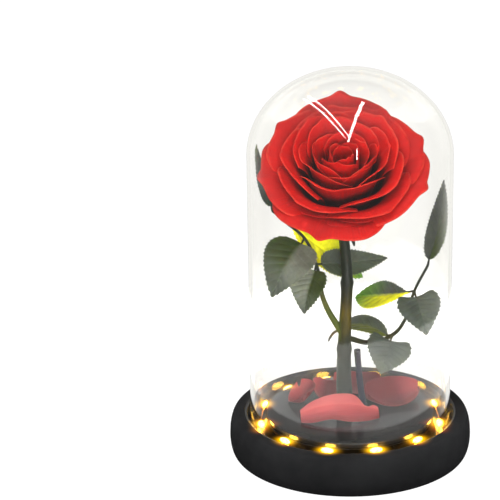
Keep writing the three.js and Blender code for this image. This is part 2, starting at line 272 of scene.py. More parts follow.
def from_tree(name, tree, data=None, **values):
    """The plain mesh that a tree makes with these values, as a new piece at the origin."""
    holder = add(name + "_source", data or bpy.data.meshes.new(name + "_source"))
    modifier = holder.modifiers.new("Shape", "NODES")
    modifier.node_group = tree
    for item in tree.interface.items_tree:
        if item.name in values:
            value = values[item.name]
            if isinstance(value, (tuple, Vector)):
                value = [float(part) for part in value]
            elif item.socket_type == "NodeSocketFloat":
                value = float(value)
            modifier[item.identifier] = value
    depsgraph = bpy.context.evaluated_depsgraph_get()
    mesh = bpy.data.meshes.new_from_object(holder.evaluated_get(depsgraph), depsgraph=depsgraph)
    bpy.data.objects.remove(holder)
    mesh.name = name
    return add(name, mesh)


def add_mesh(name, bm, material):
    mesh = bpy.data.meshes.new(name)
    bm.to_mesh(mesh)
    bm.free()
    mesh.materials.append(material)
    return add(name, mesh)


def join_pieces(name, pieces):
    """One piece from several meshes of one material."""
    bm = bmesh.new()
    material = pieces[0].data.materials[0]
    for piece in pieces:
        bm.from_mesh(piece.data)
        bpy.data.objects.remove(piece)
    return add_mesh(name, bm, material)


def ring(radius, height, segments, x=0):
    """Points round a circle whose centre is at x."""
    turn = [TURN * n / segments for n in range(segments)]
    return [(x + radius * cos(a), radius * sin(a), height) for a in turn]


def skin(name, rings, material, smooth_deg=35, place=Matrix()):
    """A closed piece through rings of points in millimetres. Its ends are single points, or the
    last ring joins the first."""
    bm = bmesh.new()
    segments = max(len(points) for points in rings)
    loops = []
    for points in rings:
        corners = [bm.verts.new([part * MM for part in point]) for point in points]
        loops.append(corners if len(points) == segments else corners * segments)
    pairs = list(zip(loops, loops[1:]))
    if len(rings[0]) == segments:
        pairs.append((loops[-1], loops[0]))
    for first, second in pairs:
        for n in range(segments):
            m = (n + 1) % segments
            bm.faces.new(list(dict.fromkeys([first[n], first[m], second[m], second[n]])))
    bmesh.ops.recalc_face_normals(bm, faces=bm.faces)
    for edge in bm.edges:
        edge.smooth = edge.calc_face_angle(0) < radians(smooth_deg)
    for face in bm.faces:
        face.smooth = True
    bm.transform(place)
    return add_mesh(name, bm, material)


def lathe(name, profile, segments, *rest):
    """A turned piece. profile is a list of [radius, height], which starts and ends on the axis."""
    return skin(name, [ring(r, z, segments) if r else [(0, 0, z)] for r, z in profile], *rest)


def arc(r, z, half_width, half_height, start, end, steps):
    """Points of an ellipse round [r, z], between two angles in degrees."""
    angles = [radians(lerp(start, end, n / steps)) for n in range(steps + 1)]
    return [(r + half_width * cos(a), z + half_height * sin(a)) for a in angles]


def settle(piece, slot, *nodes):
    """Puts a finished piece on the body, in place of the CAD nodes it stands for."""
    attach(piece, BODY)
    if nodes:
        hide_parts(*nodes)
    return piece


# Materials
def new_material(name, **values):
    material = bpy.data.materials.new(name)
    material.use_nodes = True
    return dress(material, **values), material.node_tree


def dress(material, **values):
    """Sets or links inputs of a material's shader."""
    fill(material.node_tree.nodes["Principled BSDF"], values)
    return material


def attribute(tree, name, output="Fac"):
    node = wire("ShaderNodeAttribute", {"attribute_name": name}, tree)
    return Field(node.outputs[output])


def place_in(tree, output="Object"):
    return Field(wire("ShaderNodeTexCoord", tree=tree).outputs[output])


def cloud_in(tree, scale, detail=3, roughness=0.5, stretch=(1, 1, 1)):
    """Smooth noise from 0 to 1 through the object."""
    place = shade("Mapping", Vector=place_in(tree), Scale=stretch)
    return shade("TexNoise", Vector=place, Scale=scale, Detail=detail, Roughness=roughness)


def mixed(factor, first, second):
    """A colour between two."""
    node = wire("ShaderNodeMix", {"data_type": "RGBA"}, factor.tree)
    for number, value in ((0, factor), (6, first), (7, second)):
        plug(value, node.inputs[number])
    return Field(node.outputs[2])


def relief(height, distance, strength):
    """Bump from a height field, with distance in metres."""
    return shade("Bump", Strength=strength, Distance=distance, Height=height)


def petal_material(name, deep, bright, rim, sheen):
    """A petal, with painted shade that darkens it down between its neighbours, bright at the lip,
    with fine veins and a painted highlight along its rim. The bud's petals get lighter painted
    shade down inside, and those at the back are painted a little deeper, as if less lit."""
    values = {"Sheen_Weight": sheen, "Sheen_Roughness": 0.4, "Sheen_Tint": (1, 0.2, 0.15)}
    values.update(Subsurface_Weight=0.12, Subsurface_Radius=(1, 0.12, 0.08))
    values.update(Subsurface_Scale=0.0015, Specular_IOR_Level=0.16)
    material, tree = new_material(name, **values)
    u, v, _ = parts_of(attribute(tree, "sheet_uv", "Vector"))
    streaks = vector_of(u * 34, v * 2.2, attribute(tree, "outer"))
    vein = shade("TexNoise", Vector=streaks, Scale=1, Detail=3)
    cloud = cloud_in(tree, 55)
    # painted shade: 0 down between neighbouring petals, where shade falls, 1 at the lit lip
    height = ramp(v + (cloud - 0.5) * 0.35 + (vein - 0.5) * 0.3, 0.58, 1)
    # the painted shade is lighter down inside the bud's petals
    low = mixed(attribute(tree, "bud"), deep, tuned(bright, 0.5))
    # painted light: petals towards the back (+y) are painted 22% darker than the lit front ones
    _, y, _ = parts_of(place_in(tree))
    high = mixed(ramp(y, 0.025, -0.025), tuned(bright, 0.78), bright)
    # painted highlight: the rim colour along each petal's lip and sides, patchy with the cloud
    lip = ramp(v + (vein - 0.5) * 0.03, 0.98, 1)
    side = ramp(size_of(u), 0.98, 1)
    rim_highlight = most(lip, side * 0.6) * ramp(cloud, 0.3, 0.65) * 0.7
    colour = mixed(rim_highlight, mixed(height, low, high), rim)
    bump = relief(vein * 0.8 + cloud_in(tree, 900, 2) * 0.08, 0.00035, 0.6)
    return dress(material, Base_Color=colour, Roughness=0.46 + cloud * 0.14, Normal=bump)


def leaf_material():
    """A leaflet, greyer and paler underneath unless its tint is vivid."""
    values = {"Specular_IOR_Level": 0.4, "Coat_Weight": 0.12, "Coat_Roughness": 0.35}
    values.update(Subsurface_Weight=0.3, Subsurface_Radius=(0.7, 0.9, 0.15))
    values.update(Subsurface_Scale=0.0025)
    material, tree = new_material("preserved_leaf", **values)
    tint = attribute(tree, "leaf_tint", "Color")
    vein = attribute(tree, "vein")
    cloud = cloud_in(tree, 70, 4, 0.6)
    speckle = cloud_in(tree, 420, 2, 0.6)
    red, _, blue = parts_of(tint)
    vivid = ramp(red - blue, 0.2, 0.5)
    dark = shade("HueSaturation", Value=0.62, Saturation=1.05, Color=tint)
    light = shade("HueSaturation", Value=1.35, Saturation=0.9 + 0.1 * vivid, Color=tint)
    cloudy = mixed(ramp(cloud, 0.3, 0.7), dark, light)
    speckled = mixed(ramp(speckle, 0.45, 0.8) * 0.35, cloudy, dark)
    veined = mixed(vein * 0.45, speckled, light)
    pale = shade("HueSaturation", Value=1.3, Saturation=0.75 + 0.25 * vivid, Color=veined)
    colour = mixed(attribute(tree, "outer"), pale, veined)
    bump = relief(speckle * 0.4 + cloud * 0.4 - vein * 0.5, 0.0004, 0.5)
    return dress(material, Base_Color=colour, Roughness=0.42 + cloud * 0.2, Normal=bump)


def stem_material():
    """Dark green, brown in the stem's middle, fresh on the left stalk, violet on the cut shoot."""
    material, tree = new_material("rose_stem", Specular_IOR_Level=0.4)
    across, _, height = parts_of(place_in(tree))
    fibres = cloud_in(tree, 120, 4, 0.6, (1, 1, 0.12))
    cloud = cloud_in(tree, 45, 3, 0.5, (1, 1, 0.5))
    green = mixed(ramp(fibres, 0.3, 0.7), (0.008, 0.014, 0.007), (0.028, 0.042, 0.018))
    brown = mixed(ramp(fibres, 0.35, 0.65), (0.07, 0.052, 0.002), (0.36, 0.27, 0.006))
    low = ramp(height, 0.1, 0.085) * ramp(height, 0.062, 0.072) * ramp(cloud, 0.35, 0.6)
    aged = mixed(low, green, brown)
    young = ramp(across, -0.0045, -0.0065) * ramp(height, 0.066, 0.069) * ramp(height, 0.1, 0.085)
    fresh = mixed(young, aged, (0.1, 0.14, 0.012))
    shoot = ramp(across, 0.0032, 0.004) * ramp(height, 0.0635, 0.062)
    colour = mixed(shoot, fresh, (0.012, 0.011, 0.035))
    bump = relief(fibres, 0.0006, 0.7)
    return dress(material, Base_Color=colour, Roughness=0.4 + fibres * 0.25, Normal=bump)


def lacquer(name, colour, rough_low, rough_high, coat, level, ring_height):
    """A dark coat with a faint turned grain, fine dust and soft wear."""
    values = {"Coat_Weight": coat, "Coat_Roughness": 0.28, "Specular_IOR_Level": level}
    material, tree = new_material(name, **values)
    x, y, z = parts_of(place_in(tree))
    grain = vector_of((x * x + y * y) ** 0.5 * 900, z * 900, 0)
    rings = shade("TexNoise", Vector=grain, Scale=1, Detail=2)
    cloud = cloud_in(tree, 22, 4, 0.55)
    dust = cloud_in(tree, 1400, 2, 0.5)
    specks = ramp(dust, 0.7, 0.78) * ramp(cloud, 0.45, 0.7)
    pale = tuple(min(1, part * 2.2 + 0.01) for part in colour)
    mottled = mixed(ramp(cloud, 0.35, 0.75) * 0.5, colour, pale)
    rough = rough_low + ramp(cloud, 0.3, 0.7) * (rough_high - rough_low) + specks * 0.2
    dusty = mixed(specks * 0.5, mottled, (0.12, 0.12, 0.12))
    bump = relief(rings * ring_height + dust * (0.3 * ring_height), 0.0001, 0.35)
    return dress(material, Base_Color=dusty, Roughness=rough, Normal=bump)


def glass_material():
    """Clear glass, faintly yellow where it is thick."""
    values = {"Transmission_Weight": 1, "IOR": 1.45, "Specular_IOR_Level": 0.33}
    material, tree = new_material("clear_glass", Base_Color=(1, 1, 1), **values)
    inside = shade("VolumeAbsorption", tree=tree, Color=(1, 0.95, 0.72), Density=45)
    plug(inside, tree.nodes["Material Output"].inputs["Volume"])
    rough = ramp(cloud_in(tree, 18, 3, 0.5, (1, 1, 0.35)), 0.5, 0.85) * 0.012
    bump = relief(cloud_in(tree, 9, 1, 0.4, (1, 1, 0.5)), 0.0006, 0.12)
    return dress(material, Roughness=rough, Normal=bump)


def wire_material():
    material, tree = new_material("copper_wire", Metallic=1)
    cloud = cloud_in(tree, 300, 2)
    colour = mixed(cloud, (0.42, 0.2, 0.08), (0.85, 0.5, 0.22))
    return dress(material, Base_Color=colour, Roughness=0.22 + cloud * 0.2)


def light_material():
    """Clear resin that glows warm white."""
    values = {"Roughness": 0.15, "IOR": 1.5, "Emission_Strength": LIGHT_STRENGTH}
    material, tree = new_material("light_drop", Base_Color=(1, 0.78, 0.35), **values)
    cloud = cloud_in(tree, 700, 2)
    colour = mixed(ramp(cloud, 0.35, 0.65), (1, 0.5, 0.03), (1, 0.63, 0.09))
    return dress(material, Emission_Color=colour, Normal=relief(cloud, 0.0003, 0.3))


# Each red: its painted shade colour, its lit colour, its painted rim highlight and its sheen
PETAL_RED = petal_material(
    "red_petal", (0.16, 0.003, 0.005), (0.8, 0.006, 0.003), (0.85, 0.08, 0.04), 0.04
)
FALLEN_RED = petal_material(
    "fallen_petal", (0.24, 0.012, 0.015), (0.83, 0.115, 0.12), (0.9, 0.2, 0.19), 0.2
)
LEAF = leaf_material()
STEM = stem_material()
BASE_LACQUER = lacquer("black_lacquered_wood", (0.032, 0.0322, 0.0335), 0.4, 0.5, 0, 0, 0.5)
DISC_GLOSS = lacquer("gloss_black_disc", (0.015, 0.015, 0.016), 0.14, 0.24, 0.1, 0.4, 0.002)
GROOVE_GLOSS = lacquer("gloss_black_groove", (0.01, 0.009, 0.008), 0.1, 0.2, 0, 0.5, 0.05)
LID_PLASTIC = lacquer("black_plastic", (0.012, 0.012, 0.012), 0.5, 0.65, 0, 0.4, 0.3)
GLASS = glass_material()
WIRE = wire_material()
LIGHT_DROP = light_material()


# Bloom
def on_stem(geometry):
    """What is made upright round the bloom's centre, leaning to the front in its place."""
    tilt = (BLOOM_TILT, 0, 0)
    return geo("Transform", Geometry=geometry, Rotation=tilt, Translation=BLOOM_CENTRE)


def cup_point(k, s):
    """The place on the nested cup k (0 bud, 1 outside) at s from hip to rim, as fields r and z."""
    foot = (1.5 + 5.5 * k, 4 - 8 * k)
    crest = CREST_RISE * bump_at(k - CREST_CUP, CREST_SPREAD)
    rim = (4 + (BLOOM_RADIUS - 4) * k**1.05, BUD_HEIGHT + 12 * k - 19 * (k * k) + crest)
    foot_angle = (12 + 66 * k**0.8) * radians(1)
    rim_angle = (60 * k + 40 * k**3 - 12) * radians(1)
    run = rim[0] - foot[0]
    climb = rim[1] - foot[1]
    handle = 0.38 * (run * run + climb * climb) ** 0.5
    c1 = (foot[0] + handle * sine(foot_angle), foot[1] + handle * cosine(foot_angle))
    c2 = (rim[0] - handle * sine(rim_angle), rim[1] - handle * cosine(rim_angle))
    q = 1 - s
    near_foot, near_rim = 3 * (q * q) * s, 3 * q * (s * s)
    return [
        q**3 * foot[n] + near_foot * c1[n] + near_rim * c2[n] + s**3 * rim[n] for n in (0, 1)
    ]


def petal_tree(columns, rows):
    """A part of a cup, with a lip that curls out, a pointed tip and ripples."""
    tree, given = new_tree("Petal", "direction cup half_width lip start reach crinkle seed")
    grid, u, v = sheet_grid(tree, columns, rows)
    # v is cut by reach, so short petals keep more painted shade; bud lightens the bud's painted
    # shade
    marked = store(store_uv(grid, u, v * given.reach), "bud", ramp(given.cup, 0.5, 0.12))
    spread = 0.6 + 0.4 * sine(pi / 2 * least(1, 1.25 * v))
    angle = given.direction + u * given.half_width * spread
    tip = (0.03 + 0.03 * given.cup**3) * bump_at(u, 0.11)
    s = lerp(given.start, given.reach, v) * (1 - 0.15 * size_of(u) ** 4 + tip)
    k = given.cup - 0.02 * (1 - given.cup) * u
    r, z = cup_point(k, s * (1 - 0.019 * given.lip))
    wave = (0.25 + 0.9 * k) * v**3 * sine(5 * angle + 8 * k)
    near_lip = ramp(v, 0.76, 1)
    curl = near_lip * near_lip * given.lip
    uneven = noise(angle * 2.4, v * 1.6, k * 9, given.seed, 1)
    fine = noise(angle * 9, v * 5, k * 5, given.seed, 2)
    r = r + 0.6 * wave + curl * (1 + 0.5 * uneven)
    ripple = given.crinkle * v * v * (0.75 * uneven + 0.22 * fine)
    lean = BLOOM_LEAN * sine(angle) * (most(0.01, r) / BLOOM_RADIUS) ** 1.5
    height = z + lean - 0.8 * wave - 0.6 * curl + ripple
    place = vector_of(r * cosine(angle), r * sine(angle), height)
    return finish_tree(on_stem(thick_sheet(marked, place, 0.55, 0.28)), given.Material)


def make_petal(name, tree, cup, degrees, half_degrees, nodes=(), **values):
    angles = {"direction": radians(degrees), "half_width": radians(half_degrees)}
    piece = from_tree("rose_" + name, tree, cup=cup, Material=PETAL_RED, **angles, **values)
    return settle(piece, "red_petal", *nodes)


# Thin petals in the middle of the bloom, and short ones down between the outer petals: how far
# out each lies (0 to 1), where it points in degrees, and its share of length
SMALL_PETALS = [
    *[(0.045, 300, 1), (0.075, 165, 1), (0.097, 30, 1), (0.152, 255, 1)],
    *[(0.215, 75, 1), (0.272, 205, 1), (0.322, 330, 1), (0.371, 120, 1)],
    *[(0.83, 250, 0.8), (0.86, 222, 0.86), (0.88, 285, 0.82), (0.94, 262, 0.86)],
]


def make_petals():
    tree = petal_tree(56, 40)
    petals = []
    for number, (cup, degrees, reach) in enumerate(SMALL_PETALS, 1):
        values = {"lip": 0.2 + 2.4 * cup, "start": 0.35, "reach": reach, "crinkle": 0.5}
        values["seed"] = 2.9 * number + 90
        name = f"small_petal_{number:02d}"
        petals.append(make_petal(name, tree, cup, degrees, max(46, 84 - 70 * cup), **values))
    for i in range(PETAL_COUNT):
        share = i / (PETAL_COUNT - 1)
        outer = i - (PETAL_COUNT - len(OUTER_PETALS_DEG))
        inner = FIRST_PETAL_DEG + INNER_PETAL_TURN_DEG * i
        degrees = inner if outer < 0 else OUTER_PETALS_DEG[outer]
        cup = 0.02 + 0.98 * share**0.74
        values = {"lip": 0.5 + 4.2 * cup**0.6 * (1 - 0.35 * cup), "start": 0, "reach": 1}
        values.update(crinkle=0.3 + 0.9 * cup, seed=3.7 * i + 1)
        half = 46 + 36 * (1 - share) ** 1.6
        name = f"petal_{i + 1:02d}"
        petals.append(make_petal(name, tree, cup, degrees, half, [name], **values))
    return petals


# Fallen petals on the disc
def fallen_tree(columns, rows):
    """A loose petal, bent along (bowl) and across (roll) and leaning to one side. notch and
    hollow cut into its outline, and fade gives it painted shade towards its near edge."""
    numbers = "length width bowl roll lean heading crinkle seed notch hollow fade"
    tree, given = new_tree("Fallen petal", numbers, place="Vector")
    grid, u, v = sheet_grid(tree, columns, rows)
    # painted shade: where fade is 1, darker towards the near, lower edge; else darker towards one
    # end
    painted_shade = lerp(v, 0.5 + 0.55 * ramp(u, -1.1, 0.3), given.fade)
    half = given.width * 0.5 * sine(pi * (0.12 + 0.8 * v)) ** 0.6
    far_cut = given.notch * bump_at(v - 0.85, 0.08) * ramp(u, -0.3, 0.8)
    near_cut = given.hollow * bump_at(v - 0.36, 0.2) * ramp(u, 0.2, -0.9)
    ends = 2 * v - 1
    rounded = (1 - (0.85 - 0.7 * given.notch) * ends**6) ** 0.5
    skew = 1 - given.notch * 0.24 * ramp(v, 0.62, 0) * ramp(u, -0.3, 0.8)
    b = u * half * rounded * skew * (1 - far_cut - near_cut)
    uneven = noise(u * 1.5, v * 1.5, 0, given.seed, 1)
    fine = noise(u * 5, v * 4, 0, given.seed, 2)
    up = given.bowl * (ends * ends) + given.roll * (u * u) + given.lean * (b / given.width)
    height = up + given.crinkle * (0.8 * uneven + 0.3 * fine)
    place = vector_of((v - 0.5) * given.length, b, height)
    solid = thick_sheet(store_uv(grid, u, painted_shade), place, 0.5, 0.3)
    turn = vector_of(0, 0, given.heading)
    set_down = geo("Transform", Geometry=solid, Rotation=turn, Translation=given.place)
    return finish_tree(set_down, given.Material)


# x, y, heading in degrees, length, width, bowl, roll, lean, notch, hollow, fade (painted shade)
FALLEN = {
    "front": (-6, -14, 6, 45, 19, -4, -1, 10, 0.75, 0.28, 1),
    "right": (25, 11, 20, 33, 25, 3, 5, 8, 0, 0, 0),
    "back": (4, 27, 170, 28, 20, 4, 4, -6, 0, 0, 0),
    "back_left": (-13.4, 17.2, 165, 18, 15, 5, 4, -6, 0, 0, 0),
    "left": (-28.5, 11, 100, 21, 16, 3, 4, -9, 0, 0, 0),
}


def make_fallen_petals():
    """The fallen petals, each with its lowest point just above the disc."""
    tree = fallen_tree(44, 44)
    labels = "length width bowl roll lean notch hollow fade".split()
    for number, (name, (x, y, heading, *shape)) in enumerate(FALLEN.items()):
        values = {"crinkle": 0.9, "seed": 5.3 * number + 40, **dict(zip(labels, shape))}
        values.update(heading=radians(heading), place=(x, y, 0), Material=FALLEN_RED)
        piece = from_tree("loose_petal_" + name, tree, **values)
        lowest = min(vertex.co.z for vertex in piece.data.vertices)
        piece.data.transform(Matrix.Translation((0, 0, (DISC_TOP + 0.1) * MM - lowest)))
        settle(piece, "fallen_petal", "fallen_petal_" + name)


# Leaves
LEFT_STALK = [
    *[(-7.9, 0.4, 75), (-15, 1, 91), (-19.3, 4, 112)],
    *[(-26, 6, 127), (-36, 9, 135), (-44.5, 13, 141)],
]
RIGHT_STALK = [
    *[(1.8, -0.6, 67.6), (12, 4, 64), (24.4, 3.4, 69)],
    *[(31, 0, 79), (36.6, -0.5, 97.4), (44.2, 0, 113)],
]
# the point of the stalk it grows from, tip, face, width, arch, bend, fold in degrees, full, lobe
LEFT_LEAFLETS = [
    (2, (-26, -9, 87), (-0.3, -0.85, 0.35), 23, 3, 0, 22, 0.58, 1),
    (2, (22, 33, 105.7), (0, -0.75, 0.65), 18, -2, 0, 6, 0.6, 0),
    (3, (-44, -14, 99), (-0.2, -0.85, 0.5), 31, 5, 0, 14, 0.58, 1),
    (4, (7.6, 34, 93), (0.1, -0.8, 0.6), 21, -1, 0, 6, 1, 0),
    (5, (-53.2, 5, 182.5), (-0.97, 0.2, 0.1), 15, 2.4, -2, 0, 0.68, 0),
]
RIGHT_LEAFLETS = [
    (2, (17.5, -8, 49.5), (0.05, -0.9, 0.4), 26, 3, 0, 8, 0.5, 3),
    (2, (-13, 23, 57.5), (0, -0.1, 1), 20, 9, 0, 8, 0.68, 0),
    (4, (43, -15, 76.5), (0.1, -0.9, 0.4), 25, 3, 0, 10, 0.5, 3),
    (4, (3, 21, 86), (0, -0.5, 0.87), 22, -1, 0, 4, 1.4, 0),
    (5, (52.6, 1, 163), (-0.3, -0.95, 0), 14, -2, 1.6, 34, 0.68, 0),
]
GREY = (0.13, 0.155, 0.12)
PALE = (0.27, 0.3, 0.235)
DIM = (0.09, 0.115, 0.088)
FERN = (0.034, 0.06, 0.001)
GREEN_GREY = (0.1, 0.14, 0.075)
DARK_GREY = (0.065, 0.075, 0.06)
DARK_GREEN = (0.016, 0.06, 0.02)
OLIVE = (0.068, 0.105, 0.012)
MOSS = (0.2, 0.24, 0.03)
GREEN = (0.1, 0.26, 0.012)
YELLOW = (0.8, 0.78, 0.006)
# of each leaflet's left half, right half and tip. The first's PALE right half is painted light,
# paler as the lit side of its fold.
LEFT_TINTS = [
    (OLIVE, PALE, GREY),
    (GREY, GREEN_GREY, GREY),
    (PALE, FERN, GREY),
    (YELLOW, YELLOW, GREEN),
    (DARK_GREEN, DARK_GREEN, OLIVE),
]
RIGHT_TINTS = [
    (DIM, DIM, GREY),
    (MOSS, GREY, GREY),
    (GREY, DIM, DIM),
    (YELLOW, DARK_GREY, GREEN),
    (DARK_GREY, OLIVE, DARK_GREY),
]


def weighted_sum(total, *terms):
    """A vector plus each vector times its field."""
    for vector, amount in terms:
        node = wire("ShaderNodeVectorMath", tree=total.tree)
        plug(total, node.inputs[0])
        plug(scaled(vector, amount), node.inputs[1])
        total = Field(node.outputs[0])
    return total


def leaflet_tree(columns, rows):
    """A leaflet with teeth, a midrib and side veins. full moves its widest place, and lobe draws
    its two sides back past the stalk."""
    numbers = "length width full lobe arch bend fold teeth tooth_depth veins seed"
    vectors = dict.fromkeys(("base", "along", "side", "up"), "Vector")
    tints = dict.fromkeys(("left_tint", "right_tint", "tip_tint"), "Color")
    tree, given = new_tree("Leaflet", numbers, **vectors, **tints)
    grid, u, v = sheet_grid(tree, columns, rows)
    across = size_of(u)
    profile = sine(pi * most(0, v) ** given.full)
    half = given.width * 0.5 * most(0.04, most(0, profile) ** 0.8)
    bow = 4 * v * (1 - v)
    near_stalk = most(0, v) / LOBE_PLACE
    back = given.lobe * (u * u) * near_stalk * exponential(1 - near_stalk)
    rise = across * half * sine(given.fold) * least(1, 3 * across)

    tooth = fraction(v * given.teeth) - 0.5
    teeth = given.tooth_depth * tooth * across**8 * least(1, 6 * bow)
    side_vein = size_of(fraction((v - 0.2 * across) * given.veins) - 0.5)
    fade = ramp(across, 1, 0.7)
    vein = bump_at(side_vein, 0.09) * fade
    midrib = bump_at(u * half, 0.55)
    puff = (0.5 - bump_at(side_vein, 0.22)) * fade * least(1, 4 * bow)
    uneven = noise(u * 1.3, v * 2.2, 0, given.seed, 1)
    sunk = puff * 0.35 - midrib * 0.45 + uneven * across * 1.1

    marked = store(store_uv(grid, u, v), "vein", most(vein * 0.7, midrib))
    halves = mixed(ramp(u, -0.12, 0.12), given.left_tint, given.right_tint)
    tinted = mixed(ramp(v, 0.45, 0.95), halves, given.tip_tint)
    marked = store(marked, "leaf_tint", tinted, "FLOAT_COLOR")
    place = weighted_sum(
        given.base,
        (given.along, LEAFLET_START + v * (given.length - LEAFLET_START) - back),
        (given.side, u * (half * cosine(given.fold) + teeth) + given.bend * bow),
        (given.up, given.arch * bow + rise + sunk),
    )
    return finish_tree(thick_sheet(marked, place, 0.6, 0.4), given.Material)


def make_leaflets(tree, side_name, stalk, leaflets, tints):
    pieces = []
    for number, (leaflet, (left, right, end)) in enumerate(zip(leaflets, tints), 1):
        at, tip, face, width, arch, bend, fold, full, lobe = leaflet
        base = Vector(stalk[at])
        along = Vector(tip) - base
        length = along.length
        along.normalize()
        face = Vector(face)
        up = (face - along * face.dot(along)).normalized()
        name = f"leaflet_{side_name}_{number}"
        values = {"length": length, "width": width, "full": full, "lobe": lobe, "arch": arch}
        values.update(bend=bend, fold=radians(fold), seed=7.1 * number + len(side_name))
        values.update(teeth=max(11, round(length / 2.3)), tooth_depth=1.1, veins=8, Material=LEAF)
        values.update(base=base, along=along, side=along.cross(up), up=up)
        values.update(left_tint=(*left, 1), right_tint=(*right, 1), tip_tint=(*end, 1))
        piece = from_tree("rose_" + name, tree, **values)
        pieces.append(settle(piece, "preserved_leaf", name))
    return pieces


# Stems and stalks: tubes along curves
def curve_through(name, *lines):
    """A curve object's data with one smooth line through each list of points, in millimetres."""
    data = bpy.data.curves.new(name, "CURVE")
    data.dimensions = "3D"
    data.resolution_u = 16
    for points in lines:
        line = data.splines.new("BEZIER")
        line.bezier_points.add(len(points) - 1)
        for knot, point in zip(line.bezier_points, points):
            knot.co = point
            knot.handle_left_type = knot.handle_right_type = "AUTO"
    return data


def stalk_tree():
    """A tube along each line, thinning from its start to its end, with knots and fine ridges."""
    numbers = "start_radius middle_radius end_radius middle knot_size ridge_depth seed"
    tree, given = new_tree("Stalk", numbers + " knot_1 knot_2", steps="Int", sides="Int")
    line = geo("ResampleCurve", Curve=given.Geometry, Count=given.steps)
    t = geo("SplineParameter", tree=tree)
    early = (given.middle_radius - given.start_radius) * least(1, t / given.middle)
    late = (given.end_radius - given.middle_radius) * ramp(t, given.middle, 1)
    knots = bump_at(t - given.knot_1, KNOT_SPREAD) + bump_at(t - given.knot_2, KNOT_SPREAD)
    radius = given.start_radius + early + late + given.knot_size * knots
    circle = geo("CurvePrimitiveCircle", Resolution=given.sides, Radius=1)
    tube = geo("CurveToMesh", Curve=line, Profile_Curve=circle, Scale=radius, Fill_Caps=True)
    x, y, z = parts_of(geo("InputPosition", tree=tree))
    rough = noise(x * 0.9, y * 0.9, z * 0.12, given.seed, 2)
    return finish_tree(pushed(tube, rough * given.ridge_depth), given.Material)


def make_stalk(name, tree, lines, radii, ridge_depth, steps, sides, **more):
    """Tubes along lines. radii are those at the start, middle and end, then the middle's place."""
    values = dict(zip(("start_radius", "middle_radius", "end_radius", "middle"), radii))
    values.update(ridge_depth=ridge_depth, steps=steps, sides=sides, Material=STEM)
    values.update({"knot_1": -9, "knot_2": -9, "knot_size": 0, "seed": 1, **more})
    return from_tree(name, tree, curve_through(name + "_line", *lines), **values)


def make_stems(tree):
    axis = Vector((0, -sin(BLOOM_TILT), cos(BLOOM_TILT)))
    top = Vector(BLOOM_CENTRE) - axis * (HIP_DEPTH + 0.3)
    neck = top - axis * 6
    foot = (FOOT_X, 0, DISC_TOP - DISC_THICKNESS + 0.3)
    line = [foot, (FOOT_X - 0.6, 0.4, 50), (-2.8, 1.6, 78), (-1.8, 5.4, 105), neck, top]
    knots = {"knot_1": 0.34, "knot_2": 0.67, "knot_size": 0.6}
    stem = make_stalk("rose_stem", tree, [line], (4.9, 3.45, 2.85, 0.5), 0.3, 220, 40, **knots)
    settle(stem, "rose_stem", "stem")
    line = [(7.6, 3.2, DISC_TOP + 1), (5.6, 0.6, 42), (4, -1.2, 61.5)]
    radii = (1.85, 1.8, 1.95, 0.7)
    shoot = make_stalk("rose_side_shoot", tree, [line], radii, 0.15, 60, 24, seed=4)
    settle(shoot, "rose_stem", "cut_side_shoot")


def make_leaf_stalk(tree, side_name, stalk, leaflets, root, first_radius):
    """A leaf's stalk from its root in the stem, with a stub at each leaflet."""
    stubs = []
    for at, tip, *_ in leaflets:
        base = Vector(stalk[at])
        along = (Vector(tip) - base).normalized()
        stubs.append([base, base + along * (LEAFLET_START + 0.5)])
    radii = (first_radius, 0.95, 0.75, 0.5)
    main = make_stalk("main_" + side_name, tree, [[root, *stalk[1:]]], radii, 0.1, 110, 16)
    short = make_stalk("stubs_" + side_name, tree, stubs, (0.78, 0.6, 0.5, 0.6), 0.05, 14, 12)
    whole = join_pieces("rose_leaf_stalk_" + side_name, [main, short])
    settle(whole, "rose_stem", "leaf_stalk_" + side_name)


# Calyx: the hip, and five sepals that hang back below the petals
def sepal_tree(columns, rows):
    tree, given = new_tree("Sepal", "turn length droop seed")
    grid, u, v = sheet_grid(tree, columns, rows)
    half = 3.4 * sine(pi * (0.25 + 0.72 * v))
    r = 3 + given.length * v
    z = 3.2 * sine(2.2 * v) - given.droop * (v * v) - 7.6 + 0.5 * (u * u) * v
    uneven = noise(u, v * 3, 0, given.seed, 1)
    place = vector_of(r, u * half, z + 0.5 * uneven * v)
    solid = thick_sheet(store_uv(grid, u, v), place, 0.8, 0.4)
    turned = geo("Transform", Geometry=solid, Rotation=vector_of(0, 0, given.turn))
    return finish_tree(on_stem(turned), given.Material)


def make_calyx():
    tree = sepal_tree(16, 24)
    sepals = []
    for n in range(5):
        values = {"turn": TURN * n / 5, "length": 17.6, "droop": 7, "seed": 2.9 * n + 60}
        sepals.append(from_tree(f"sepal_{n}", tree, Material=STEM, **values))
    tilt = Matrix.Rotation(BLOOM_TILT, 4, "X")
    place = Matrix.Translation(Vector(BLOOM_CENTRE) * MM) @ tilt
    outline = [
        *[(0, -HIP_DEPTH), (2.5, -HIP_DEPTH), (3.4, -8.3), (4.8, -7.8), (5.5, -7), (5.6, -6)],
        *[(4.9, -4.6), (3.4, -1.8), (1.6, 1), (0.6, 2.5), (0, 2.8)],
    ]
    hip = lathe("hip", outline, 40, STEM, 80, place)
    settle(join_pieces("rose_calyx", [hip, *sepals]), "rose_stem", "calyx")


